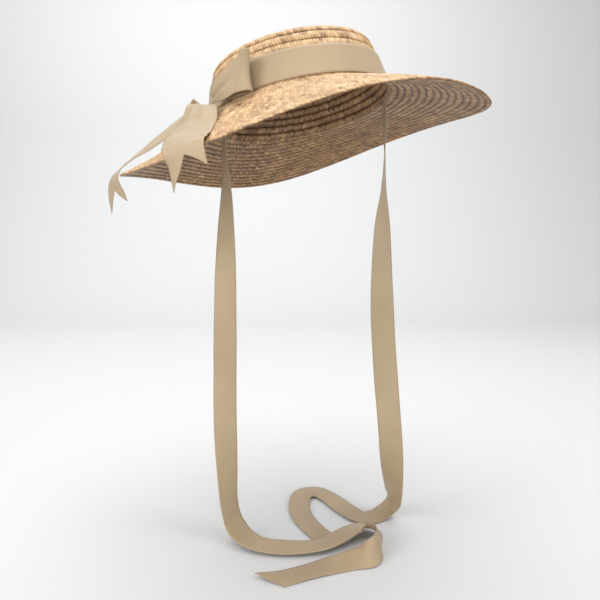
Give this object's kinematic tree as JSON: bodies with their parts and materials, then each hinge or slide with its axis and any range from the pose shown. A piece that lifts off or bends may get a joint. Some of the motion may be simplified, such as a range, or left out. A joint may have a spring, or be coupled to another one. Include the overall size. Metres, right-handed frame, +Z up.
{
  "type": "straw boater hat with ribbon bow and ties",
  "caption": "Low-crowned straw hat with a wide sloping brim, a ribbon band with a side bow and long ribbon ties.",
  "frame": {"origin": "centre of the head opening, where the crown meets the brim; a head holds the hat there", "axes": "+Z up while worn, +X towards the side of the hat away from the bow, +Y towards the far side; the hat itself is tilted about 9.5 degrees, bow side down"},
  "size_m": [0.3771, 0.3481, 0.5128],
  "materials": {
    "straw": "braided wheat straw, natural, slightly glossy",
    "ribbon": "khaki-beige grosgrain ribbon, low sheen"
  },
  "bodies": {
    "root": {"crown": "straw", "brim": "straw", "hat_band": "ribbon", "bow_loop_near": "ribbon", "bow_loop_far": "ribbon", "bow_tail_near": "ribbon", "bow_tail_far": "ribbon", "tie_left": "ribbon", "tie_right": "ribbon"}
  },
  "joints": []
}
